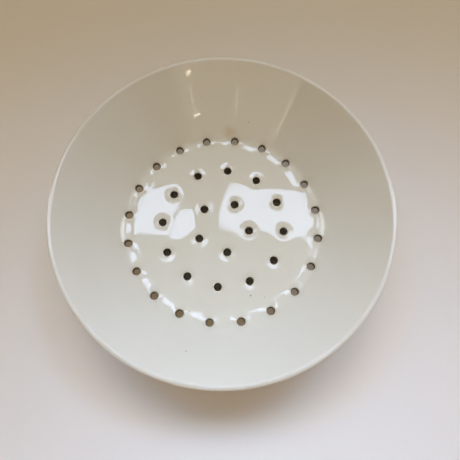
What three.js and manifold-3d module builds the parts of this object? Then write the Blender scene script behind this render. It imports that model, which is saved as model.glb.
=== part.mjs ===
// A round ceramic draining plate in white glaze: a flat bed pierced by three rings of drain
// holes, a floor edge that turns up, a flared wall, a rounded lip, and a foot ring that
// holds the bed clear of the table so that water can run away underneath.
// Millimetres, +Z up. The origin is the centre of the circle that the foot ring stands on.

import * as THREE from "three";
import { mergeVertices } from "three/addons/utils/BufferGeometryUtils.js";
import Module from "manifold-3d";

// Overall sizes
const RIM_DIAMETER = 220;
const OVERALL_HEIGHT = 57;
const BODY_THICKNESS = 3.5;

// Floor: a flat bed whose edge turns up into the wall
const BED_DIAMETER = 129;
const TURN_UP_RADIUS = 11;

// Wall, with a slight hollow curve seen from inside, and the lip on top of it
const WALL_CURVE_RADIUS = 260;
const LIP_SKIRT = 2.3; // wall below the lip's rounding that belongs to the lip

// Foot ring, midway between the edge ring and the middle ring of holes so that it blocks neither
const FOOT_HEIGHT = 6.5;
const FOOT_ROOT_WIDTH = 9;
const FOOT_LAND_WIDTH = 2.4; // flat face that the foot stands on
const FOOT_EDGE_ROUND = 0.9;

// Drain holes: punched straight down, with the upper edge eased
const HOLE_DIAMETER = 5.7;
const HOLE_EDGE_EASE = 0.6;
const EDGE_RING_OUTSET = 5; // from the edge of the flat bed out to the hole centres, on the turn-up
const EDGE_RING_COUNT = 20;
const EDGE_RING_START = THREE.MathUtils.degToRad(8.7);
const MIDDLE_RING_DIAMETER = 88.8;
const MIDDLE_RING_COUNT = 12;
const MIDDLE_RING_START = THREE.MathUtils.degToRad(23.6);
const INNER_RING_DIAMETER = 38.6;
const INNER_RING_COUNT = 5;
const INNER_RING_START = THREE.MathUtils.degToRad(61.5);
const HOLE_TO_WALL_CLEARANCE = 3; // turned edge kept outside the edge ring, before the wall begins

// Facets
const ROUND_SEGMENTS = 72;
const HOLE_SEGMENTS = 12;
const TURN_UP_STEPS = 6;
const WALL_STEPS = 5;
const SHORT_WALL_STEPS = 1;
const LIP_QUARTER_STEPS = 4;
const LIP_SIDE_STEPS = 2;
const FOOT_EDGE_STEPS = 3;

const GLAZE_COLOUR = 0xe8e5da;
const GLAZE_ROUGHNESS = 0.12;

const wasm = await Module();
wasm.setup();

// Section through the body, as (radius, height). The inside and the outside are the same two
// arcs, one body thickness apart: the turn-up about turnCentre, then the wall about wallCentre.
const bedTop = FOOT_HEIGHT + BODY_THICKNESS;
const lipRadius = BODY_THICKNESS / 2;
const lipCentre = new THREE.Vector2(RIM_DIAMETER / 2 - lipRadius, OVERALL_HEIGHT - lipRadius);
const turnCentre = new THREE.Vector2(BED_DIAMETER / 2, bedTop + TURN_UP_RADIUS);
const wallCentre = circleCrossing(
  turnCentre, WALL_CURVE_RADIUS - TURN_UP_RADIUS, lipCentre, WALL_CURVE_RADIUS + lipRadius);
const turnEndAngle = turnCentre.clone().sub(wallCentre).angle() - 2 * Math.PI;
const lipAngle = lipCentre.clone().sub(wallCentre).angle() - 2 * Math.PI;

const holeRadius = HOLE_DIAMETER / 2;
const edgeRingRadius = BED_DIAMETER / 2 + EDGE_RING_OUTSET;
const middleRingRadius = MIDDLE_RING_DIAMETER / 2;
const innerRingRadius = INNER_RING_DIAMETER / 2;
const footRadius = (edgeRingRadius + middleRingRadius) / 2;

// The turned edge meets the floor in an upright joint where the flat bed ends.
// Heights of the two flat joints above it: edge to wall, and wall to lip.
const wallFootRadius = edgeRingRadius + holeRadius + HOLE_EDGE_EASE + HOLE_TO_WALL_CLEARANCE;
const wallBottom = insideHeight(wallFootRadius);
const lipBottom = lipCentre.y + lipRadius * Math.sin(lipAngle) - LIP_SKIRT;

// The crossing of two circles that lies to the left of the line from the first centre to the second
function circleCrossing(first, firstRadius, second, secondRadius) {
  const apart = second.clone().sub(first);
  const distance = apart.length();
  const along = (firstRadius ** 2 - secondRadius ** 2 + distance ** 2) / (2 * distance);
  const across = Math.sqrt(firstRadius ** 2 - along ** 2);
  const forward = apart.divideScalar(distance);
  const left = new THREE.Vector2(-forward.y, forward.x);
  return first.clone().addScaledVector(forward, along).addScaledVector(left, across);
}

function arc(centre, radius, startAngle, endAngle, steps) {
  const points = [];
  for (let step = 0; step <= steps; step += 1) {
    const angle = startAngle + (endAngle - startAngle) * step / steps;
    points.push(new THREE.Vector2(
      centre.x + radius * Math.cos(angle), centre.y + radius * Math.sin(angle)));
  }
  return points;
}

// The arc that holds the inside skin at a given radius from the axis
function insideArc(radius) {
  const turnEndRadius = turnCentre.x + TURN_UP_RADIUS * Math.cos(turnEndAngle);
  if (radius <= turnEndRadius) {
    return { centre: turnCentre, radius: TURN_UP_RADIUS };
  }
  return { centre: wallCentre, radius: WALL_CURVE_RADIUS };
}

function insideHeight(radius) {
  const skin = insideArc(radius);
  return skin.centre.y - Math.sqrt(skin.radius ** 2 - (radius - skin.centre.x) ** 2);
}

function insideSlope(radius) {
  const skin = insideArc(radius);
  return Math.asin((radius - skin.centre.x) / skin.radius);
}

// The part of a skin between two heights, from the lower to the upper one.
// The inside skin has offset 0 and the outside skin has offset BODY_THICKNESS.
function skin(offset, low, high, wallSteps) {
  const turnRadius = TURN_UP_RADIUS + offset;
  const wallRadius = WALL_CURVE_RADIUS + offset;
  const turnEnd = turnCentre.y + turnRadius * Math.sin(turnEndAngle);
  const points = [];
  if (low < turnEnd) {
    const start = Math.asin(Math.max((low - turnCentre.y) / turnRadius, -1));
    const end = high < turnEnd ? Math.asin((high - turnCentre.y) / turnRadius) : turnEndAngle;
    points.push(...arc(turnCentre, turnRadius, start, end, TURN_UP_STEPS));
  }
  if (high > turnEnd) {
    const start = low < turnEnd ? turnEndAngle : Math.asin((low - wallCentre.y) / wallRadius);
    const end = Math.asin((high - wallCentre.y) / wallRadius);
    const wall = arc(wallCentre, wallRadius, start, end, wallSteps);
    points.push(...(points.length > 0 ? wall.slice(1) : wall));
  }
  return points;
}

function turned(profile) {
  const geometry = new THREE.LatheGeometry(profile, ROUND_SEGMENTS);
  geometry.rotateX(Math.PI / 2);
  return geometry;
}

function ringTurned(profile) {
  return turned([...profile, profile[0].clone()]);
}

function toSolid(geometry) {
  const bare = geometry.clone();
  bare.deleteAttribute("normal");
  bare.deleteAttribute("uv");
  const merged = mergeVertices(bare);
  const vertProperties = new Float32Array(merged.attributes.position.array);
  const triVerts = new Uint32Array(merged.index.array);
  return new wasm.Manifold(new wasm.Mesh({ numProp: 3, vertProperties, triVerts }));
}

function toGeometry(solid) {
  const mesh = solid.getMesh();
  const geometry = new THREE.BufferGeometry();
  geometry.setAttribute("position", new THREE.BufferAttribute(mesh.vertProperties, mesh.numProp));
  geometry.setIndex(new THREE.BufferAttribute(mesh.triVerts, 1));
  geometry.computeVertexNormals();
  return geometry;
}

// One drain hole's cutters: a straight punch, and a cone square to the surface that eases its edge
function holeCutters(ringRadius, angle) {
  const top = ringRadius > turnCentre.x ? insideHeight(ringRadius) : bedTop;
  const slope = ringRadius > turnCentre.x ? insideSlope(ringRadius) : 0;
  const punchLength = 2 * (top - FOOT_HEIGHT + BODY_THICKNESS);
  const punch = new THREE.CylinderGeometry(holeRadius, holeRadius, punchLength, HOLE_SEGMENTS);
  punch.rotateX(Math.PI / 2);

  const coneLift = HOLE_DIAMETER / 4;
  const coneRadius = holeRadius + HOLE_EDGE_EASE + coneLift;
  const cone = new THREE.ConeGeometry(coneRadius, coneRadius, HOLE_SEGMENTS);
  cone.rotateX(-Math.PI / 2);
  cone.translate(0, 0, coneLift - coneRadius / 2);
  cone.rotateY(-slope);

  return [punch, cone].map((cutter) => {
    cutter.translate(ringRadius, 0, top);
    cutter.rotateZ(angle);
    return toSolid(cutter);
  });
}

function holeRing(ringRadius, count, startAngle) {
  const cutters = [];
  for (let hole = 0; hole < count; hole += 1) {
    cutters.push(...holeCutters(ringRadius, startAngle + 2 * Math.PI * hole / count));
  }
  return cutters;
}

function pierced(geometry) {
  const cutters = [
    ...holeRing(edgeRingRadius, EDGE_RING_COUNT, EDGE_RING_START),
    ...holeRing(middleRingRadius, MIDDLE_RING_COUNT, MIDDLE_RING_START),
    ...holeRing(innerRingRadius, INNER_RING_COUNT, INNER_RING_START),
  ];
  return toGeometry(cutters.reduce((solid, cutter) => solid.subtract(cutter), toSolid(geometry)));
}

function drainFloor() {
  return pierced(turned([
    new THREE.Vector2(0, FOOT_HEIGHT),
    new THREE.Vector2(turnCentre.x, FOOT_HEIGHT),
    new THREE.Vector2(turnCentre.x, bedTop),
    new THREE.Vector2(0, bedTop),
  ]));
}

function turnedEdge() {
  return pierced(ringTurned([
    ...skin(BODY_THICKNESS, FOOT_HEIGHT, wallBottom, SHORT_WALL_STEPS),
    ...skin(0, bedTop, wallBottom, SHORT_WALL_STEPS).reverse(),
  ]));
}

function flaredWall() {
  return ringTurned([
    ...skin(BODY_THICKNESS, wallBottom, lipBottom, WALL_STEPS),
    ...skin(0, wallBottom, lipBottom, WALL_STEPS).reverse(),
  ]);
}

// A half-round edge: its widest point is the rim and its highest point is the top of the plate
function rimLip() {
  const outsideTop = lipCentre.y + lipRadius * Math.sin(lipAngle);
  const insideTop = lipCentre.y - lipRadius * Math.sin(lipAngle);
  const upright = Math.PI / 2;
  return ringTurned([
    ...skin(BODY_THICKNESS, lipBottom, outsideTop, SHORT_WALL_STEPS),
    ...arc(lipCentre, lipRadius, lipAngle, 0, LIP_SIDE_STEPS).slice(1),
    ...arc(lipCentre, lipRadius, 0, upright, LIP_QUARTER_STEPS).slice(1),
    ...arc(lipCentre, lipRadius, upright, lipAngle + Math.PI, LIP_SIDE_STEPS).slice(1, -1),
    ...skin(0, lipBottom, insideTop, SHORT_WALL_STEPS).reverse(),
  ]);
}

// The foot narrows from its root under the floor to the land that it stands on
function footRing() {
  const land = new THREE.Vector2(FOOT_LAND_WIDTH / 2, 0);
  const corner = new THREE.Vector2(land.x + FOOT_EDGE_ROUND, 0);
  const root = new THREE.Vector2(FOOT_ROOT_WIDTH / 2, FOOT_HEIGHT);
  const sideStart = corner.clone().lerp(root, FOOT_EDGE_ROUND / FOOT_HEIGHT);
  const edge = new THREE.QuadraticBezierCurve(land, corner, sideStart);
  const side = [...edge.getPoints(FOOT_EDGE_STEPS), root];
  const outside = side.map((point) => new THREE.Vector2(footRadius + point.x, point.y));
  const inside = side.map((point) => new THREE.Vector2(footRadius - point.x, point.y));
  return ringTurned([...outside, ...inside.reverse()]);
}

const plate = new THREE.Group();

function addPiece(name, geometry) {
  const material = new THREE.MeshStandardMaterial({
    color: GLAZE_COLOUR, roughness: GLAZE_ROUGHNESS, metalness: 0 });
  const mesh = new THREE.Mesh(geometry, material);
  mesh.name = name;
  plate.add(mesh);
}

addPiece("drain_floor", drainFloor());
addPiece("turned_edge", turnedEdge());
addPiece("flared_wall", flaredWall());
addPiece("rim_lip", rimLip());
addPiece("foot_ring", footRing());

export default plate;
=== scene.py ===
import math

import bpy
import numpy as np
from mathutils import Matrix, Vector, geometry


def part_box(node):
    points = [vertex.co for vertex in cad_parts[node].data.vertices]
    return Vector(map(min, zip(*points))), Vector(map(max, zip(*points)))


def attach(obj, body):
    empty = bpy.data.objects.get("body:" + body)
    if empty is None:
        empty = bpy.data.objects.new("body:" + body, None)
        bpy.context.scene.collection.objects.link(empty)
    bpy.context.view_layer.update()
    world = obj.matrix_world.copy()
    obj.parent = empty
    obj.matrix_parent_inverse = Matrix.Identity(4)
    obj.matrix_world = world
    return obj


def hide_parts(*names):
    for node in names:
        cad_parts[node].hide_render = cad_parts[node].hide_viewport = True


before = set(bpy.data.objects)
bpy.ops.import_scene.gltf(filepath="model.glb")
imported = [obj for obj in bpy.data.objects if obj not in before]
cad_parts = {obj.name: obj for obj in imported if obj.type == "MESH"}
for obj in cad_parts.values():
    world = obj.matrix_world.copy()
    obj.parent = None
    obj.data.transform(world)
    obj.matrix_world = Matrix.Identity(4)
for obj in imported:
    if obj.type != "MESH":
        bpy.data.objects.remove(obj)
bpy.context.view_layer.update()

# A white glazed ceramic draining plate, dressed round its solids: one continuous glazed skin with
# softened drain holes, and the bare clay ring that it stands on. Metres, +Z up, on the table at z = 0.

MM = 0.001
TAU = 2 * math.pi
SEED = 11
rng = np.random.default_rng(SEED)

# Sizes read from the frame
RIM_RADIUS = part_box("rim_lip")[1].x
PLATE_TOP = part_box("rim_lip")[1].z
FOOT_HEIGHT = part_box("foot_ring")[1].z
FOOT_ROOT_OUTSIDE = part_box("foot_ring")[1].x

# Section of the body, the same arcs as the solids
THICKNESS = 3.5 * MM
BED_RADIUS = 64.5 * MM
TURN_RADIUS = 11 * MM
WALL_RADIUS = 260 * MM
FOOT_ROOT_WIDTH = 9 * MM
FOOT_LAND_WIDTH = 2.4 * MM
FOOT_EDGE_ROUND = 0.9 * MM

# The glaze softens the turn-up. It starts with height = rise * d^2, d past a circle a little off centre.
# Over spans of radii it steepens to the wall's slope, becomes centred and comes back to the solid's skin
SOFT_TURN_CENTRE = (-0.3 * MM, 2.2 * MM)
SOFT_TURN_START = 60.0 * MM
SOFT_TURN_RISE = 0.0093 / MM
SOFT_TURN_STEEPENS = (68.5 * MM, 75.5 * MM)
SOFT_TURN_CENTRED = (68 * MM, 79 * MM)
SOFT_TURN_RETURNS = (70 * MM, 105 * MM)

# Drain holes: (pitch circle radius, count, start angle in degrees), and how far single ones differ
HOLE_RADIUS = 2.85 * MM
HOLE_RINGS = [(69.5 * MM, 20, 8.7), (44.4 * MM, 12, 23.6), (19.3 * MM, 5, 61.5)]
HOLE_SIZES = (0.98, 1.02)
HOLE_OVALS = (0, 0.015)
TOP_EDGE_ROUND = 0.75 * MM
LOW_EDGE_ROUND = 0.4 * MM
LOW_HALO = 1.2 * MM
BORE_TAPER = 0.65 * MM

# Painted shade: between these leans of a hole's top edge, in radians from the bed's normal, the glaze turns
# near black down the bore, standing in for the shade inside the holes
BORE_SHADE_LEANS = (0.9, 1.8)

# The bed sinks to each hole in a shallow cone that steepens towards it and fades out up the turn-up
DIMPLE_RADIUS = 7.2 * MM
DIMPLE_SIZES = (0.93, 1.07)
DIMPLE_SLOPE = 0.060
DIMPLE_SLOPES = (0.88, 1.12)
DIMPLE_STEEPENING = 0.012 / MM
DIMPLE_SOFTNESS = 0.4 * MM
DIMPLE_FADE = (71 * MM, 77 * MM)

# Slow waves that the glaze leaves on the bed
RIPPLE_HEIGHT = 0.011 * MM
RIPPLE_COUNT = 9
RIPPLE_LENGTHS = (16 * MM, 46 * MM)
RIPPLE_END = 70 * MM
RIPPLE_FADE = 8 * MM

# Lip, as arcs of (radius, tilt of the surface in degrees outwards from level where the arc ends):
# a tight inner shoulder, a broad crown that falls outwards, and a small outer edge down to the wall
LIP_ARCS = [(1.4 * MM, -5), (2.3 * MM, 50), (0.7 * MM, None)]
LIP_BLEND = 24 * MM
LIP_MARK_HEIGHT = 1.6 * MM

# Glaze on the foot, down to a line where it ends in a small rolled edge. The edge's last points are
# (outwards from the foot's middle, upwards) from that line, in sizes of the edge
FOOT_FILLET = 2.0 * MM
GLAZE_LINE = 1.4 * MM
GLAZE_EDGE = 0.25 * MM
GLAZE_EDGE_SHAPE = np.array([(-0.1, 0.3), (-0.9, 0.0)])

# Bare clay below that line: its gap to the glaze, and how far the top of its rounded edge stands out
CLAY_GAP = 0.05 * MM
CLAY_SWELL = 0.1 * MM

# Marks fired into the glaze: (x, y, z, radius in millimetres), strength. A mark is full within its core
SPECKS = [
    ((17.9, -51.0, 10.0, 0.70), 0.9),
    ((27.5, -52.4, 10.0, 0.50), 0.55),
    ((-25.3, -60.4, 10.5, 0.45), 0.6),
    ((-25.4, -87.2, 33.4, 0.65), 0.7),
    ((22.0, 78.4, 21.6, 0.50), 0.8),
]
STAIN = (7.3, 74.5, 14.2, 6.5)
MARK_CORE = 0.3

# Where the drilled zones end
TOP_ZONE_RADIUS = 79 * MM
LOW_ZONE_RADIUS = 76.5 * MM

# Mesh fineness: segments and rows
ROUND_SEGMENTS = 320
HOLE_SEGMENTS = 48
HOLE_LOOP = 8.8 * MM
DIMPLE_ROWS = 16
DIMPLE_CROWDING = 1.4
EDGE_ROWS = 6
BORE_ROWS = 3
WALL_ROWS = 18
LIP_ROWS = 7
FOOT_FILLET_ROWS = 6

# Mesh fineness: loose points between the holes, finer past a radius, with their margins to the border
# and, in spacings, to the holes' loops
BED_SPACING = 2.0 * MM
TURN_SPACING = 1.1 * MM
UNDER_SPACING = 1.6 * MM
FINE_RADIUS = BED_RADIUS - 1 * MM
TOP_MARGIN = 0.5 * MM
UNDER_MARGIN = 0.3 * MM
LOOP_MARGIN = 0.6
FEWEST_ON_CIRCLE = 6
FILL_TOLERANCE = 1e-7

# Steps in which slopes are summed up and measured
PROFILE_STEP = 0.005 * MM
SLOPE_STEP = 0.02 * MM

# Colours of the materials, as linear red, green and blue
GLAZE_SHADES = ((0.755, 0.735, 0.645), (0.795, 0.78, 0.705))
POOLED_GLAZE = (0.74, 0.71, 0.62)
LIP_GLAZE = (0.765, 0.75, 0.685)
# Painted shade: the holes' walls get this near-black colour so that they look shaded
PAINTED_BORE_SHADE = (0.095, 0.085, 0.070)
STAIN_COLOUR = (0.65, 0.54, 0.36)
SPECK_COLOUR = (0.05, 0.04, 0.03)
FRECKLE_COLOUR = (0.36, 0.30, 0.22)
CLAY_SHADES = ((0.52, 0.45, 0.35), (0.72, 0.66, 0.56))
TABLE_SHADES = ((0.782, 0.752, 0.724), (0.822, 0.786, 0.758))

# Noise in the materials: (scale per metre, detail)
GLAZE_CLOUD = (22.0, 3.0)
STAIN_BLOTCH = (260.0, 3.0)
GLAZE_WEAR = (45.0, 4.0)
GLAZE_PEEL = (130.0, 2.0)
CLAY_GRAIN = (700.0, 4.0)
TABLE_CLOUD = (6.0, 3.0)

# Freckles: cells per metre, the draws that choose a few cells, and the radii, in cells, over which the
# freckle at the point of a chosen cell fades out
FRECKLE_CELLS = 85.0
FRECKLE_CHOICE = (0.86, 0.98)
FRECKLE_RADII = (0.012, 0.026)
FRECKLE_STRENGTH = 0.55

# Gloss and relief
GLAZE_IOR = 1.5
GLAZE_WEAR_SPAN = (0.35, 0.75)
GLAZE_ROUGHNESS = (0.02, 0.05)
GLAZE_PEEL_HEIGHT = 0.008 * MM
CLAY_ROUGHNESS = 0.85
TABLE_ROUGHNESS = 0.55

# Table, just below the face that the plate stands on, and the room's light and its look behind the table
TABLE_HALF = 4.0
TABLE_DROP = 0.05 * MM
ROOM_LIGHT = (0.40, 0.303, 0.185)
ROOM_SEEN = (0.62, 0.60, 0.58)

# Lamps that set the tone and don't show in gloss: (name, place, aim, size, radiance, colour)
KEYS = [
    ("key", (0.0, 0.42, 1.0), (0.05, -0.30, 0), (0.7, 0.3), 0.52, (0.945, 0.905, 1.0)),
    ("left_key", (-0.50, 0.34, 1.0), (-0.02, -0.30, 0), (0.5, 0.25), 0.66, (0.26, 0.56, 1.0)),
    ("right_key", (0.50, 0.34, 1.0), (0.06, -0.30, 0), (0.5, 0.25), 0.91, (0.46, 0.67, 1.0)),
]
KEY_SPREAD = 36
RIGHT_SIDE = ("right_side", (1.75, 0.60, 0.50), (0, 0, 0), (0.7, 1.0), 2.4, (0.36, 0.57, 1.0))
OVERHEAD = ("overhead", (0.05, 0.70, 2.1), (0.05, 0.70, 0), (1.3, 0.22), 4.6, (1.0, 0.945, 0.495))

# Lamps that show only in gloss, aimed at the plate: (name, place, size, radiance, colour). A tall one on
# either side glints on the turn-up. A soft sheen, dim strips and two warm sparks lie on the far wall
SIDE_GLINTS = [
    ("left_glint", (-1.08, 0.40, 0.96), (0.27, 1.37), 5.5, (0.85, 0.92, 1.0)),
    ("right_glint", (1.08, 0.40, 0.96), (0.27, 1.37), 5.5, (0.85, 0.92, 1.0)),
]
FRONT_LAMPS = [
    ("front_sheen", (-0.243, -1.534, 0.691), (2.0, 0.97), 0.92, (1.0, 0.80, 0.72)),
    ("right_strip", (0.366, -1.295, 0.456), (0.022, 0.085), 2.4, (1.0, 0.90, 0.70)),
    ("middle_strip", (-0.250, -1.320, 0.468), (0.026, 0.085), 2.4, (1.0, 0.90, 0.80)),
    ("left_strip", (-0.895, -1.018, 0.430), (0.050, 0.155), 1.9, (1.0, 0.92, 0.86)),
    ("low_spark", (0.354, -1.307, 0.401), (0.064, 0.003), 16, (1.0, 0.86, 0.64)),
    ("high_spark", (0.341, -1.287, 0.518), (0.100, 0.012), 16, (1.0, 0.86, 0.64)),
]

# Panes overhead that show only in gloss: (name, middle x, middle y, width, depth, turn in degrees)
PANES = [
    ("right_pane", 0.314, 0.675, 0.620, 0.254, -10.0),
    ("left_pane", -0.428, 0.697, 0.316, 0.257, 3.0),
    ("slim_pane", -0.211, 0.625, 0.090, 0.160, 0.0),
]
PANE_HEIGHT = 2.0
PANE_RADIANCE = 9.2
PANE_COLOUR = (0.60, 0.73, 1.0)

# Camera, as fitted to the hole rings and the rim in the 460 pixel frame
IMAGE_SIZE = 460
FOCAL_PIXELS = 435.3
CAMERA_BACK = 91.5 * MM
CAMERA_ABOVE_BED = 305.1 * MM
CAMERA_PITCH = 73.76
CAMERA_YAW = 3.28
CAMERA_ROLL = 1.34
SENSOR_WIDTH = 36
CLIP_START = 0.01


# Section through the body


def circle_crossing(first, first_radius, second, second_radius):
    """The crossing of two circles to the left of the line from the first centre to the second."""
    apart = second - first
    distance = np.hypot(*apart)
    along = (first_radius**2 - second_radius**2 + distance**2) / (2 * distance)
    across = math.sqrt(first_radius**2 - along**2)
    forward = apart / distance
    return first + along * forward + across * np.array([-forward[1], forward[0]])


BED_TOP = FOOT_HEIGHT + THICKNESS
LIP_RADIUS = THICKNESS / 2
LIP_CENTRE = np.array([RIM_RADIUS - LIP_RADIUS, PLATE_TOP - LIP_RADIUS])
TURN_CENTRE = np.array([BED_RADIUS, BED_TOP + TURN_RADIUS])
WALL_CENTRE = circle_crossing(
    TURN_CENTRE, WALL_RADIUS - TURN_RADIUS, LIP_CENTRE, WALL_RADIUS + LIP_RADIUS)
TURN_END = math.atan2(*(TURN_CENTRE - WALL_CENTRE)[::-1])
LIP_ANGLE = math.atan2(*(LIP_CENTRE - WALL_CENTRE)[::-1])
FOOT_RADIUS = FOOT_ROOT_OUTSIDE - FOOT_ROOT_WIDTH / 2


def skin_height(radius, offset):
    """Height of the inside skin (offset 0) or outside skin (offset THICKNESS) at a radius."""
    turn = TURN_RADIUS + offset
    wall = WALL_RADIUS + offset
    turn_end_radius = TURN_CENTRE[0] + turn * math.cos(TURN_END)
    on_turn = TURN_CENTRE[1] - np.sqrt(np.maximum(turn**2 - (radius - TURN_CENTRE[0])**2, 0))
    on_wall = WALL_CENTRE[1] - np.sqrt(np.maximum(wall**2 - (radius - WALL_CENTRE[0])**2, 0))
    bed = BED_TOP - offset
    return np.where(radius < BED_RADIUS, bed, np.where(radius < turn_end_radius, on_turn, on_wall))


def smooth_step(value):
    """0 up to a value of 0 and 1 from a value of 1, with a smooth rise between."""
    value = np.clip(value, 0, 1)
    return value * value * (3 - 2 * value)


def smooth_between(value, span):
    """0 below a span and 1 above it, with a smooth rise between."""
    return smooth_step((value - span[0]) / (span[1] - span[0]))


def soft_turn(radius):
    """Height over the bed of the first, gentle part of the turn-up."""
    return SOFT_TURN_RISE * np.maximum(radius - SOFT_TURN_START, 0)**2


def soft_profile():
    """The softened inside skin as radii and heights, summed up from its slopes."""
    radii = np.arange(SOFT_TURN_START, RIM_RADIUS, PROFILE_STEP)
    gentle = np.gradient(soft_turn(radii), radii)
    solid = np.gradient(skin_height(radii, 0), radii)
    slopes = gentle + smooth_between(radii, SOFT_TURN_STEEPENS) * (solid - gentle)
    heights = BED_TOP + np.cumsum(slopes) * PROFILE_STEP
    lag = skin_height(radii[-1], 0) - heights[-1]
    return radii, heights + lag * smooth_between(radii, SOFT_TURN_RETURNS)


SOFT_PROFILE = soft_profile()


def soft_inside_height(plan):
    """Height of the inside skin with the turn-up softened by the glaze."""
    radius = np.hypot(*plan.T)
    off_centre = soft_turn(np.hypot(*(plan - SOFT_TURN_CENTRE).T)) - soft_turn(radius)
    share = 1 - smooth_between(radius, SOFT_TURN_CENTRED)
    return np.interp(radius, *SOFT_PROFILE) + share * off_centre


def arc(centre, radius, start, end, rows):
    """Points on an arc of the section, without its first point."""
    angles = np.linspace(start, end, rows + 1)[1:]
    return np.stack([centre[0] + radius * np.cos(angles), centre[1] + radius * np.sin(angles)], 1)


def curve(start, bend, end, rows):
    """Points on a curve of the section from start to end, drawn towards bend."""
    share = np.linspace(0, 1, rows + 1)[:, None]
    return (1 - share)**2 * start + 2 * share * (1 - share) * bend + share**2 * end


def lip_section():
    """Points over the lip, from the top of the inside skin to the top of the outside skin."""
    tilt = -(math.pi / 2 + LIP_ANGLE)
    last = tilt + math.pi
    section = [np.zeros(2)]
    for radius, end in LIP_ARCS:
        tilts = np.linspace(tilt, last if end is None else math.radians(end), LIP_ROWS + 1)
        path = radius * np.stack([np.sin(tilts), np.cos(tilts)], 1)
        section.extend(section[-1] + path[1:] - path[0])
        tilt = tilts[-1]
    section = np.array(section)
    return section + [RIM_RADIUS, PLATE_TOP] - section.max(0)


def led_to(points, top, target):
    """Wall points shifted near their top so that the wall ends at target instead of top."""
    share = smooth_step((points[:, 1:] - top[1] + LIP_BLEND) / LIP_BLEND)
    return points + share * (target - top)


def wall_section():
    """The inside wall from the bed's zone up, the lip, and the outside wall down to the underside's zone."""
    outside_radius = WALL_RADIUS + THICKNESS
    inside_start = math.asin((skin_height(TOP_ZONE_RADIUS, 0) - WALL_CENTRE[1]) / WALL_RADIUS)
    outside_end = math.asin((skin_height(LOW_ZONE_RADIUS, THICKNESS) - WALL_CENTRE[1]) / outside_radius)
    inside = arc(WALL_CENTRE, WALL_RADIUS, inside_start, LIP_ANGLE, WALL_ROWS)
    inside[:, 1] = np.interp(inside[:, 0], *SOFT_PROFILE)
    outside = arc(WALL_CENTRE, outside_radius, LIP_ANGLE, outside_end, WALL_ROWS)[:-1]
    outside_top = WALL_CENTRE + outside_radius * np.array([math.cos(LIP_ANGLE), math.sin(LIP_ANGLE)])
    lip = lip_section()
    return np.concatenate([
        led_to(inside, inside[-1], lip[0]), lip[1:], led_to(outside, outside_top, lip[-1])])


def foot_side():
    """One side of the foot, from the underside to the glaze line, as (distance from its middle, height)."""
    root = np.array([FOOT_ROOT_WIDTH / 2, FOOT_HEIGHT])
    corner = np.array([FOOT_LAND_WIDTH / 2 + FOOT_EDGE_ROUND, 0])
    down = (corner - root) / np.hypot(*(corner - root))
    tangent = FOOT_FILLET * math.tan((math.pi / 2 + math.asin(down[0])) / 2)
    fillet_end = root + tangent * down
    fillet = curve(root + [tangent, 0], root, fillet_end, FOOT_FILLET_ROWS)
    line_at = corner - down * (GLAZE_LINE / -down[1])
    edge_start = line_at - down * GLAZE_EDGE
    edge = line_at + GLAZE_EDGE * GLAZE_EDGE_SHAPE
    return np.concatenate([fillet, [0.5 * (fillet_end + edge_start), edge_start], edge])


def clay_side():
    """One side of the bare clay, from the glaze line to the face that the plate stands on."""
    corner = FOOT_LAND_WIDTH / 2 + FOOT_EDGE_ROUND
    edge = curve([corner + CLAY_SWELL, FOOT_EDGE_ROUND], [corner, 0], [FOOT_LAND_WIDTH / 2, 0], EDGE_ROWS)
    return np.concatenate([[[foot_side()[-1, 0] - CLAY_GAP, GLAZE_LINE]], edge])


def foot_section(side):
    """Section of the foot from one side's points: its outer side downwards, then its inner side upwards."""
    middle = [FOOT_RADIUS, 0]
    return np.concatenate([middle + side, (middle + side * [-1, 1])[::-1]])


# Surface of the bed and of the underside, as heights over the table


def make_holes():
    """The drain holes, ring by ring, each a little different."""
    holes = []
    for ring_radius, count, start in HOLE_RINGS:
        for angle in math.radians(start) + TAU * np.arange(count) / count:
            holes.append({
                "centre": ring_radius * np.array([math.cos(angle), math.sin(angle)]),
                "dimple": DIMPLE_RADIUS * rng.uniform(*DIMPLE_SIZES),
                "slope": DIMPLE_SLOPE * rng.uniform(*DIMPLE_SLOPES),
                "radius": HOLE_RADIUS * rng.uniform(*HOLE_SIZES),
                "oval": rng.uniform(*HOLE_OVALS),
                "oval_angle": rng.uniform(0, TAU),
            })
    return holes


def make_ripples():
    """Waves in all directions, as wave vectors, phases and heights."""
    lengths = np.linspace(*RIPPLE_LENGTHS, RIPPLE_COUNT)
    turns = rng.uniform(0, TAU, RIPPLE_COUNT)
    waves = TAU / lengths[:, None] * np.stack([np.cos(turns), np.sin(turns)], 1)
    heights = RIPPLE_HEIGHT * lengths / lengths.mean()
    return waves, rng.uniform(0, TAU, RIPPLE_COUNT), heights


HOLES = make_holes()
RIPPLES = make_ripples()
DIMPLE_WIDTH = DIMPLE_RADIUS - HOLE_RADIUS
DIMPLE_DEPTH = DIMPLE_SLOPE * DIMPLE_WIDTH + DIMPLE_STEEPENING * DIMPLE_WIDTH**2 / 2


def dimple(plan):
    """How far the bed sinks towards the holes."""
    sink = np.zeros(len(plan))
    for hole in HOLES:
        into = hole["dimple"] - np.hypot(*(plan - hole["centre"]).T)
        cone = DIMPLE_SOFTNESS * np.logaddexp(0, into / DIMPLE_SOFTNESS)
        sink += hole["slope"] * cone + DIMPLE_STEEPENING * np.maximum(into, 0)**2 / 2
    return sink


def ripple(plan):
    """Height of the slow waves, which fade out where the bed turns up."""
    waves, phases, heights = RIPPLES
    total = np.sin(plan @ waves.T + phases) @ heights
    return total * smooth_step((RIPPLE_END - np.hypot(*plan.T)) / RIPPLE_FADE)


def bed_height(plan):
    sink = dimple(plan) * (1 - smooth_between(np.hypot(*plan.T), DIMPLE_FADE))
    return soft_inside_height(plan) - sink + ripple(plan)


def under_height(plan):
    return skin_height(np.hypot(*plan.T), THICKNESS)


def unit(vectors):
    return vectors / np.linalg.norm(vectors, axis=1)[:, None]


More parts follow.
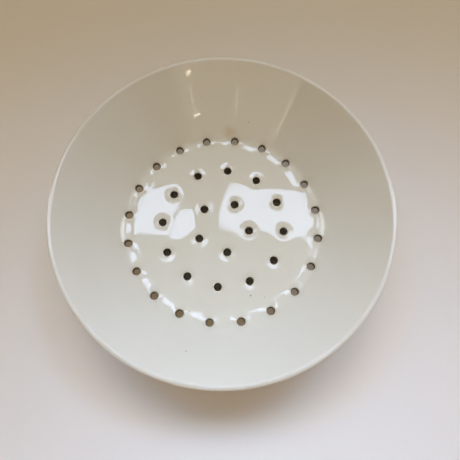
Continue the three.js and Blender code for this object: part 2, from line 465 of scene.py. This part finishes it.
def slope_normals(height, plan, up):
    """Unit normals of a height field, from its slopes. up is 1 for a top face and -1 for an underside."""
    slopes = []
    for axis in SLOPE_STEP * np.eye(2):
        slopes.append((height(plan + axis) - height(plan - axis)) / (2 * SLOPE_STEP))
    return unit(np.stack([-slopes[0], -slopes[1], np.ones(len(plan))], 1) * up)


# Mesh building


def new_object(name, data):
    made = bpy.data.objects.new(name, data)
    bpy.context.scene.collection.objects.link(made)
    return made


class Skin:
    """Collects the vertices, normals, colour marks (pooled glaze, lip glaze and the painted shade in the
    holes) and faces of one closed mesh.
    """

    MARKS = ("pool", "bore", "edge")

    def __init__(self):
        self.points = []
        self.normals = []
        self.marks = {mark: [] for mark in self.MARKS}
        self.faces = []
        self.count = 0

    def add(self, points, normals=None, **marks):
        """Adds vertices and returns their numbers. With no normals, Blender works them out."""
        size = len(points)
        self.points.append(points)
        self.normals.append(np.zeros((size, 3)) if normals is None else normals)
        for mark in self.MARKS:
            self.marks[mark].append(np.broadcast_to(marks.get(mark, 0.0), size))
        self.count += size
        return np.arange(self.count - size, self.count)

    def add_on(self, height, plan, up):
        """Adds vertices on a height field, with its normals."""
        return self.add(np.column_stack([plan, height(plan)]), slope_normals(height, plan, up))

    def loft(self, first, second):
        """Quads between two rings of equal length, facing out when the section runs first to second."""
        after_first = np.roll(first, -1)
        after_second = np.roll(second, -1)
        self.faces += np.stack([first, second, after_second, after_first], 1).tolist()

    def sweep(self, ring, profile, **marks):
        """Turns the section points after ring round the axis, and returns the last ring."""
        for index, (radius, height) in enumerate(profile):
            here = {mark: values[index] for mark, values in marks.items()}
            fresh = self.add(turned_ring(radius, height), **here)
            self.loft(ring, fresh)
            ring = fresh
        return ring

    def fill(self, outer, inner, loose, up):
        """Triangles from an outer loop of vertices to the inner loops, over the loose vertices between."""
        loops = [outer, *inner]
        numbers = np.concatenate([*loops, loose])
        plan = np.concatenate(self.points)[numbers][:, :2] / MM
        owner = np.zeros(len(numbers), int)
        edges = []
        start = 0
        for index, loop in enumerate(loops):
            order = np.arange(start, start + len(loop))
            owner[order] = index
            edges += np.stack([order, np.roll(order, -1)], 1).tolist()
            start += len(loop)
        made = geometry.delaunay_2d_cdt([Vector(p) for p in plan], edges, [], 0, FILL_TOLERANCE)
        origin = np.array([sources[0] for sources in made[3]])
        triangles = origin[np.array(made[2])]
        # A triangle with all its corners on one inner loop lies within that loop
        owners = owner[triangles]
        within = (owners[:, 0] > 0) & (owners == owners[:, :1]).all(1)
        triangles = numbers[triangles[~within]]
        self.faces += (triangles if up > 0 else triangles[:, ::-1]).tolist()

    def build(self, name, material):
        mesh = bpy.data.meshes.new(name)
        mesh.from_pydata(np.concatenate(self.points).tolist(), [], self.faces)
        mesh.polygons.foreach_set("use_smooth", np.ones(len(mesh.polygons), bool))
        for mark in self.MARKS:
            layer = mesh.attributes.new(mark, "FLOAT", "POINT")
            layer.data.foreach_set("value", np.concatenate(self.marks[mark]).astype(np.float32))
        mesh.update()
        mesh.normals_split_custom_set_from_vertices(np.concatenate(self.normals).tolist())
        mesh.materials.append(material)
        return new_object(name, mesh)


def circle(centre, radius, count):
    """Points of a circle, or of a ring whose radius is given point by point, and their directions."""
    angles = TAU * np.arange(count) / count
    spokes = np.stack([np.cos(angles), np.sin(angles)], 1)
    return centre + np.reshape(radius, (-1, 1)) * spokes, spokes


def round_plan(radius, count=ROUND_SEGMENTS):
    """Points of a circle about the plate's axis."""
    return circle(np.zeros(2), radius, count)[0]


def turned_ring(radius, height):
    return np.column_stack([round_plan(radius), np.full(ROUND_SEGMENTS, height)])


def hole_radii(hole, extra):
    """Radius of a hole round its edge, a little oval, plus extra."""
    angles = TAU * np.arange(HOLE_SEGMENTS) / HOLE_SEGMENTS
    return hole["radius"] * (1 + hole["oval"] * np.cos(2 * (angles - hole["oval_angle"]))) + extra


def add_hole(skin, hole):
    """One drain hole, from its dimple on the bed down to the underside. Returns its outer loops."""
    rings = []

    def ring(radii, height, shift, lean, up, **marks):
        """A ring about the hole, shift above the surface, whose normal leans into the hole by lean."""
        plan, spokes = circle(hole["centre"], radii, HOLE_SEGMENTS)
        face = slope_normals(height, plan, up)
        inward = np.column_stack([-spokes, np.zeros(HOLE_SEGMENTS)])
        normals = unit(math.cos(lean) * face + math.sin(lean) * inward)
        points = np.column_stack([plan, height(plan) + shift])
        if up > 0:
            marks["pool"] = np.clip(dimple(plan) / DIMPLE_DEPTH, 0, 1)
        rings.append(skin.add(points, normals, **marks))

    inner = hole_radii(hole, TOP_EDGE_ROUND)
    for share in np.linspace(1, 0, DIMPLE_ROWS + 1)**DIMPLE_CROWDING:
        ring(inner + share * (HOLE_LOOP - inner), bed_height, 0, 0, 1)
    for lean in np.linspace(0, math.pi / 2, EDGE_ROWS + 1)[1:]:
        inset = TOP_EDGE_ROUND * (1 - math.sin(lean))
        drop = TOP_EDGE_ROUND * (1 - math.cos(lean))
        # Painted shade: the rounded top edge takes the dark colour where it leans into the hole
        stain_and_shade = smooth_between(lean, BORE_SHADE_LEANS)
        ring(hole_radii(hole, inset), bed_height, -drop, lean, 1, bore=stain_and_shade)
    bore_top = skin.points[-1]
    low_plan, spokes = circle(hole["centre"], hole_radii(hole, -BORE_TAPER), HOLE_SEGMENTS)
    bore_low = np.column_stack([low_plan, under_height(low_plan) + LOW_EDGE_ROUND])
    bore_normals = unit(np.column_stack([-spokes, np.full(HOLE_SEGMENTS, BORE_TAPER / THICKNESS)]))
    # Painted shade: the bore itself takes the dark colour in full
    for share in np.linspace(0, 1, BORE_ROWS + 1)[1:-1]:
        rings.append(skin.add(bore_top + share * (bore_low - bore_top), bore_normals, bore=1.0))
    # Painted shade: the dark colour fades out over the rounded lower edge
    for lean in np.linspace(math.pi / 2, 0, EDGE_ROWS + 1):
        inset = LOW_EDGE_ROUND * (1 - math.sin(lean)) - BORE_TAPER
        lift = LOW_EDGE_ROUND * (1 - math.cos(lean))
        ring(hole_radii(hole, inset), under_height, lift, lean, -1, bore=smooth_step(lean))
    ring(hole_radii(hole, LOW_EDGE_ROUND + LOW_HALO), under_height, 0, 0, -1)

    for above, below in zip(rings, rings[1:]):
        skin.loft(below, above)
    return rings[0], rings[-1]


def loose_plan(low, high, spacing, halo):
    """Points on circles between two radii, kept clear of the holes' loops."""
    rows = max(int(round((high - low) / spacing)), 1)
    found = []
    for radius in low + (high - low) * (np.arange(rows) + 0.5) / rows:
        found.append(round_plan(radius, max(int(TAU * radius / spacing), FEWEST_ON_CIRCLE)))
    plan = np.concatenate(found)
    clear = np.ones(len(plan), bool)
    for hole in HOLES:
        clear &= np.hypot(*(plan - hole["centre"]).T) > halo + LOOP_MARGIN * spacing
    return plan[clear]


def glazed_body(material):
    """The glazed skin, from the bed over the lip and round the foot to the underside."""
    skin = Skin()
    bed_edge = skin.add_on(bed_height, round_plan(TOP_ZONE_RADIUS), 1)
    loops = [add_hole(skin, hole) for hole in HOLES]

    # Bed, between the dimples
    loose = skin.add_on(bed_height, np.concatenate([
        [[0, 0]],
        loose_plan(0, FINE_RADIUS, BED_SPACING, HOLE_LOOP),
        loose_plan(FINE_RADIUS, TOP_ZONE_RADIUS - TOP_MARGIN, TURN_SPACING, HOLE_LOOP),
    ]), 1)
    skin.fill(bed_edge, [top for top, _ in loops], loose, 1)

    # Wall, lip and outside
    profile = wall_section()
    on_lip = np.exp(-((profile[:, 1] - PLATE_TOP) / LIP_MARK_HEIGHT)**2)
    wall_end = skin.sweep(bed_edge, profile, edge=on_lip)
    low_edge = skin.add_on(under_height, round_plan(LOW_ZONE_RADIUS), -1)
    skin.loft(wall_end, low_edge)

    # Foot, between the underside outside it and the underside within it
    side = foot_side()
    root_outside = FOOT_RADIUS + side[0, 0]
    root_inside = FOOT_RADIUS - side[0, 0]
    root_out = skin.add_on(under_height, round_plan(root_outside), -1)
    foot_end = skin.sweep(root_out, foot_section(side[1:]))
    root_in = skin.add_on(under_height, round_plan(root_inside), -1)
    skin.loft(foot_end, root_in)

    # Underside, between the holes: (inner radius, outer radius, outer loop, inner loops)
    halo = HOLE_RADIUS + LOW_EDGE_ROUND + LOW_HALO
    under_loops = [under for _, under in loops]
    outer_count = HOLE_RINGS[0][1]
    for low, high, border, within in (
            (root_outside, LOW_ZONE_RADIUS, low_edge, [root_out, *under_loops[:outer_count]]),
            (0, root_inside, root_in, under_loops[outer_count:])):
        plan = loose_plan(low + UNDER_MARGIN, high - UNDER_MARGIN, UNDER_SPACING, halo)
        skin.fill(border, within, skin.add_on(under_height, plan, -1), -1)
    return skin.build("glazed_body", material)


def bare_foot(material):
    """The wiped ring of clay below the glaze line, with the flat face that the plate stands on."""
    profile = foot_section(clay_side())
    skin = Skin()
    first = skin.add(turned_ring(*profile[0]))
    last = skin.sweep(first, profile[1:])
    skin.loft(last, first)
    return skin.build("bare_foot", material)


# Materials


def new_material(name):
    """A material with its node tree, its shader and the place on the plate or table."""
    material = bpy.data.materials.new(name)
    material.use_nodes = True
    tree = material.node_tree
    return material, tree, tree.nodes["Principled BSDF"], node(tree, "ShaderNodeTexCoord").outputs["Object"]


def feed(tree, socket, value):
    """Links another node's output to a socket, or sets the socket to a plain value."""
    if isinstance(value, bpy.types.NodeSocket):
        tree.links.new(value, socket)
    else:
        socket.default_value = value


def node(tree, kind, inputs=None, **settings):
    made = tree.nodes.new(kind)
    for key, value in settings.items():
        setattr(made, key, value)
    for key, value in (inputs or {}).items():
        feed(tree, made.inputs[key], value)
    return made


def mix_colour(tree, factor, first, second):
    """The mix of two colours, each a plain (red, green, blue) or another node's output."""
    made = node(tree, "ShaderNodeMix", {0: factor}, data_type="RGBA")
    sockets = {socket.name: socket for socket in made.inputs if socket.enabled}
    for key, colour in (("A", first), ("B", second)):
        feed(tree, sockets[key], (*colour, 1) if isinstance(colour, tuple) else colour)
    return next(socket for socket in made.outputs if socket.enabled)


def noise(tree, place, grain):
    """Noise of a grain (scale per metre, detail)."""
    inputs = {"Vector": place, "Scale": grain[0], "Detail": grain[1]}
    return node(tree, "ShaderNodeTexNoise", inputs).outputs["Fac"]


def skin_mark(tree, name):
    """One of the marks that the skin carries at its vertices."""
    return node(tree, "ShaderNodeAttribute", attribute_name=name).outputs["Fac"]


def times(tree, first, second):
    return node(tree, "ShaderNodeMath", {0: first, 1: second}, operation="MULTIPLY").outputs["Value"]


def mapped(tree, value, span, ends):
    """A value led from a span to run from one end to the other, and held at the ends."""
    inputs = {"Value": value, "From Min": span[0], "From Max": span[1], "To Min": ends[0], "To Max": ends[1]}
    return node(tree, "ShaderNodeMapRange", inputs).outputs["Result"]


def near_spot(tree, place, spot):
    """1 at a spot (x, y, z, radius in millimetres) of the plate, fading to 0 at its radius."""
    middle = [coordinate * MM for coordinate in spot[:3]]
    away = node(tree, "ShaderNodeVectorMath", {0: place, 1: middle}, operation="DISTANCE")
    return mapped(tree, away.outputs["Value"], (MARK_CORE * spot[3] * MM, spot[3] * MM), (1.0, 0.0))


def freckles(tree, place):
    """Strength of the faint freckles in the glaze."""
    cells = node(tree, "ShaderNodeTexVoronoi", {"Vector": place, "Scale": FRECKLE_CELLS})
    draw = node(tree, "ShaderNodeSeparateColor", {"Color": cells.outputs["Color"]}).outputs["Red"]
    chosen = mapped(tree, draw, FRECKLE_CHOICE, (0.0, 1.0))
    dot = mapped(tree, cells.outputs["Distance"], FRECKLE_RADII, (FRECKLE_STRENGTH, 0.0))
    return times(tree, chosen, dot)


def glaze_material():
    material, tree, shader, place = new_material("white_glaze")
    colour = mix_colour(tree, noise(tree, place, GLAZE_CLOUD), *GLAZE_SHADES)
    colour = mix_colour(tree, skin_mark(tree, "pool"), colour, POOLED_GLAZE)
    colour = mix_colour(tree, skin_mark(tree, "edge"), colour, LIP_GLAZE)
    # Painted shade: the bore is coloured near black, standing in for the shade inside the holes
    colour = mix_colour(tree, skin_mark(tree, "bore"), colour, PAINTED_BORE_SHADE)
    stain_and_shade = times(tree, near_spot(tree, place, STAIN), noise(tree, place, STAIN_BLOTCH))
    colour = mix_colour(tree, stain_and_shade, colour, STAIN_COLOUR)
    for spot, strength in SPECKS:
        speck = times(tree, near_spot(tree, place, spot), strength)
        colour = mix_colour(tree, speck, colour, SPECK_COLOUR)
    colour = mix_colour(tree, freckles(tree, place), colour, FRECKLE_COLOUR)
    feed(tree, shader.inputs["Base Color"], colour)
    wear = noise(tree, place, GLAZE_WEAR)
    feed(tree, shader.inputs["Roughness"], mapped(tree, wear, GLAZE_WEAR_SPAN, GLAZE_ROUGHNESS))
    feed(tree, shader.inputs["IOR"], GLAZE_IOR)
    peel = noise(tree, place, GLAZE_PEEL)
    bump = node(tree, "ShaderNodeBump", {"Height": peel, "Strength": 1.0, "Distance": GLAZE_PEEL_HEIGHT})
    feed(tree, shader.inputs["Normal"], bump.outputs["Normal"])
    return material


def clouded_material(name, grain, shades, roughness):
    """A dull material that varies between two shades."""
    material, tree, shader, place = new_material(name)
    feed(tree, shader.inputs["Base Color"], mix_colour(tree, noise(tree, place, grain), *shades))
    feed(tree, shader.inputs["Roughness"], roughness)
    return material


# Stage, light and camera


def area_lamp(name, place, aim, size, radiance, colour):
    """A rectangular lamp of a given radiance, aimed at a point."""
    lamp = bpy.data.lights.new(name, "AREA")
    lamp.shape = "RECTANGLE"
    lamp.size, lamp.size_y = size
    lamp.energy = radiance * math.pi * size[0] * size[1]
    lamp.color = colour
    holder = new_object(name, lamp)
    holder.location = place
    holder.rotation_euler = (Vector(aim) - Vector(place)).to_track_quat("-Z", "Y").to_euler()
    holder.visible_camera = False
    return holder


def tone_lamp(*lamp):
    """A lamp that sets the tone and doesn't show in gloss."""
    holder = area_lamp(*lamp)
    holder.visible_glossy = False
    return holder


def mirrored_lamp(name, place, size, radiance, colour, aim=(0, 0, 0)):
    """A lamp that shows only in gloss, aimed at the plate unless told otherwise."""
    holder = area_lamp(name, place, aim, size, radiance, colour)
    holder.visible_diffuse = False
    return holder


def make_table():
    corners = [(x * TABLE_HALF, y * TABLE_HALF, 0) for x, y in ((-1, -1), (1, -1), (1, 1), (-1, 1))]
    mesh = bpy.data.meshes.new("table")
    mesh.from_pydata(corners, [], [(0, 1, 2, 3)])
    mesh.materials.append(clouded_material("pale_table", TABLE_CLOUD, TABLE_SHADES, TABLE_ROUGHNESS))
    table = new_object("table", mesh)
    table.location.z = -TABLE_DROP


def make_room():
    world = bpy.data.worlds.new("room")
    world.use_nodes = True
    tree = world.node_tree
    seen = node(tree, "ShaderNodeLightPath").outputs["Is Camera Ray"]
    shade = mix_colour(tree, seen, ROOM_LIGHT, ROOM_SEEN)
    feed(tree, tree.nodes["Background"].inputs["Color"], shade)
    bpy.context.scene.world = world


def make_lamps():
    for lamp in KEYS:
        tone_lamp(*lamp).data.spread = math.radians(KEY_SPREAD)
    tone_lamp(*RIGHT_SIDE)
    for lamp in SIDE_GLINTS:
        mirrored_lamp(*lamp)
    tone_lamp(*OVERHEAD)
    for name, x, y, width, depth, turn in PANES:
        pane = mirrored_lamp(
            name, (x, y, PANE_HEIGHT), (width, depth), PANE_RADIANCE, PANE_COLOUR, aim=(x, y, 0))
        pane.rotation_euler.z = math.radians(turn)
    for lamp in FRONT_LAMPS:
        mirrored_lamp(*lamp)


def make_camera():
    pitch, yaw, roll = (math.radians(a) for a in (CAMERA_PITCH, CAMERA_YAW, CAMERA_ROLL))
    ahead = Vector((math.sin(yaw) * math.cos(pitch), math.cos(yaw) * math.cos(pitch), -math.sin(pitch)))
    level = Vector((math.cos(yaw), -math.sin(yaw), 0))
    upward = level.cross(ahead)
    right = level * math.cos(roll) + upward * math.sin(roll)
    up = upward * math.cos(roll) - level * math.sin(roll)
    data = bpy.data.cameras.new("camera")
    data.sensor_width = SENSOR_WIDTH
    data.lens = SENSOR_WIDTH * FOCAL_PIXELS / IMAGE_SIZE
    data.clip_start = CLIP_START
    camera = new_object("camera", data)
    place = Vector((0, -CAMERA_BACK, BED_TOP + CAMERA_ABOVE_BED))
    camera.matrix_world = Matrix.Translation(place) @ Matrix((right, up, -ahead)).transposed().to_4x4()
    bpy.context.scene.camera = camera


make_camera()
make_table()
make_room()
make_lamps()
body = glazed_body(glaze_material())
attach(body, "root")
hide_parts("drain_floor", "turned_edge", "flared_wall", "rim_lip")
foot = bare_foot(clouded_material("foot_clay", CLAY_GRAIN, CLAY_SHADES, CLAY_ROUGHNESS))
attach(foot, "root")
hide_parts("foot_ring")

bpy.context.scene.view_settings.view_transform = "Standard"
